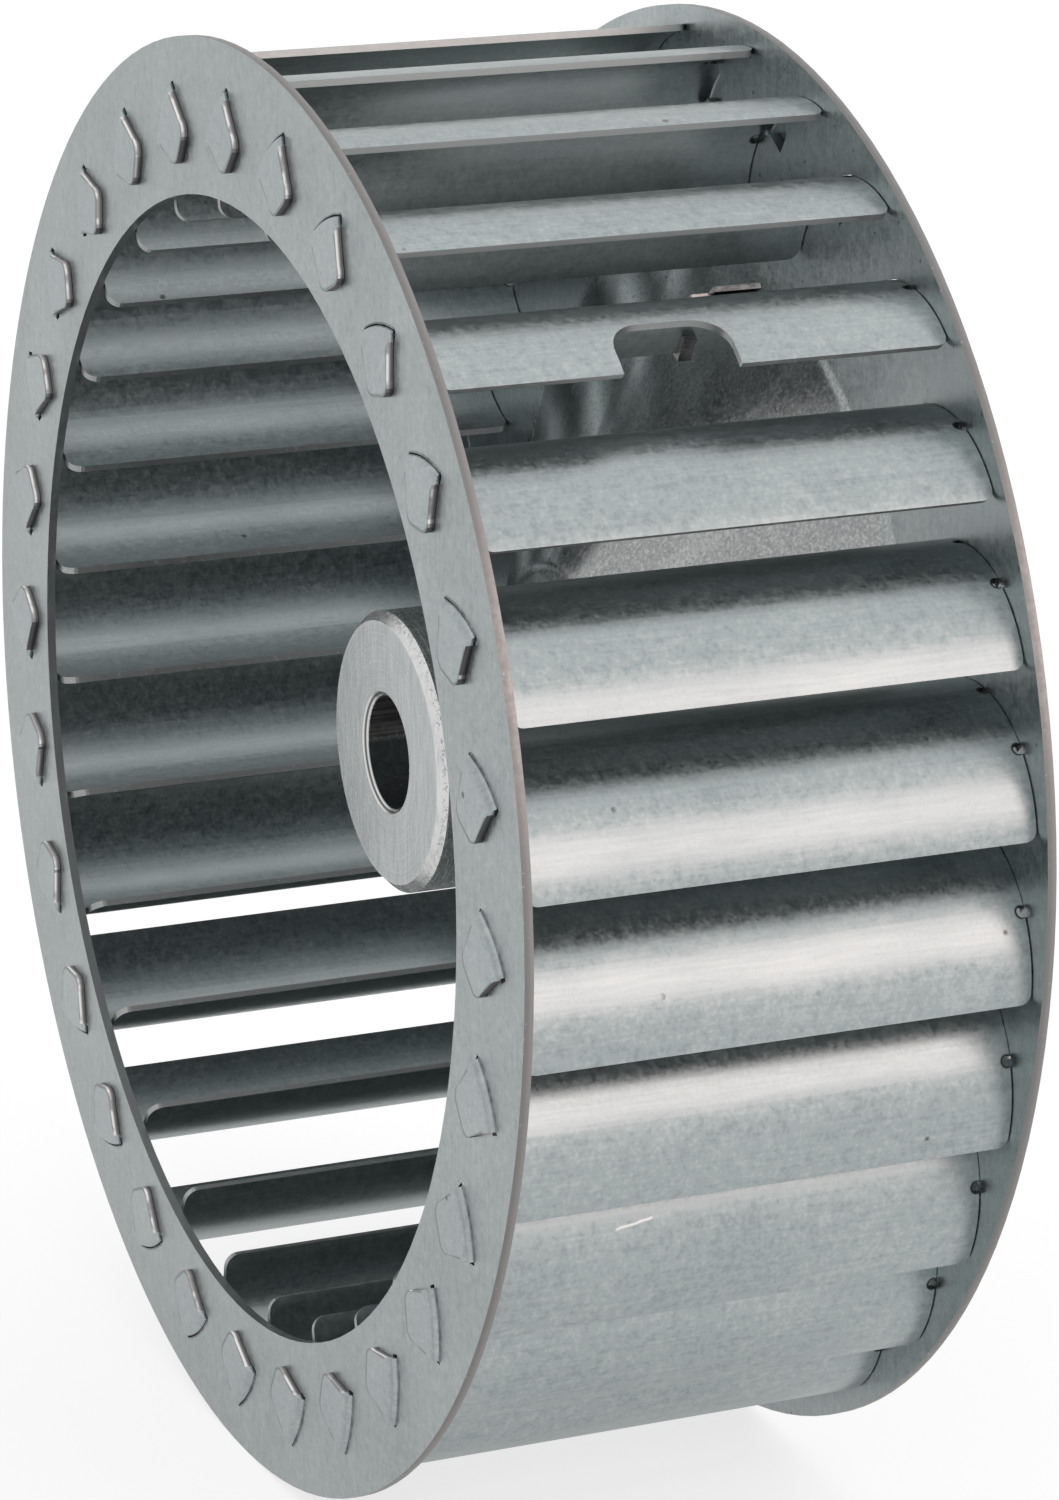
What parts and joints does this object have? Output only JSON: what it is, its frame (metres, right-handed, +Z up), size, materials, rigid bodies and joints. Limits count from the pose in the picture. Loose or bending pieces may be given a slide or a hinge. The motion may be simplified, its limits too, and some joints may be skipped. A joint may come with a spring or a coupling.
{
  "type": "squirrel cage blower wheel",
  "caption": "Single-inlet squirrel cage blower wheel with forward-curved sheet blades, flat inlet ring, coned back disc and bored hub, for moving air in a centrifugal blower.",
  "frame": {"origin": "the wheel's centre: on the shaft axis, midway between the outer faces of the front ring and the back disc", "axes": "+Y along the shaft axis from the inlet eye towards the back disc and the motor, +Z up, +X to the right as seen when looking into the eye"},
  "size_m": [0.16, 0.06, 0.16],
  "materials": {
    "galvanised_disc": "galvanised sheet, fine brushed grain, soft mottled zinc",
    "galvanised_blade": "galvanised sheet, fine brushed grain, soft mottled zinc",
    "zinc_plated_hub": "turned steel with bright zinc plating",
    "black_screw": "black oxide on steel",
    "spring_clip": "plain spring steel"
  },
  "bodies": {
    "root": {"front_ring": "galvanised_disc", "back_disc": "galvanised_disc", "hub": "zinc_plated_hub", "set_screw": "black_screw", "balance_clip": "spring_clip", "blade_01": "galvanised_blade", "blade_02": "galvanised_blade", "blade_03": "galvanised_blade", "blade_04": "galvanised_blade", "blade_05": "galvanised_blade", "blade_06": "galvanised_blade", "blade_07": "galvanised_blade", "blade_08": "galvanised_blade", "blade_09": "galvanised_blade", "blade_10": "galvanised_blade", "blade_11": "galvanised_blade", "blade_12": "galvanised_blade", "blade_13": "galvanised_blade", "blade_14": "galvanised_blade", "blade_15": "galvanised_blade", "blade_16": "galvanised_blade", "blade_17": "galvanised_blade", "blade_18": "galvanised_blade", "blade_19": "galvanised_blade", "blade_20": "galvanised_blade", "blade_21": "galvanised_blade", "blade_22": "galvanised_blade", "blade_23": "galvanised_blade", "blade_24": "galvanised_blade", "blade_25": "galvanised_blade", "blade_26": "galvanised_blade", "blade_27": "galvanised_blade", "blade_28": "galvanised_blade"}
  },
  "joints": []
}
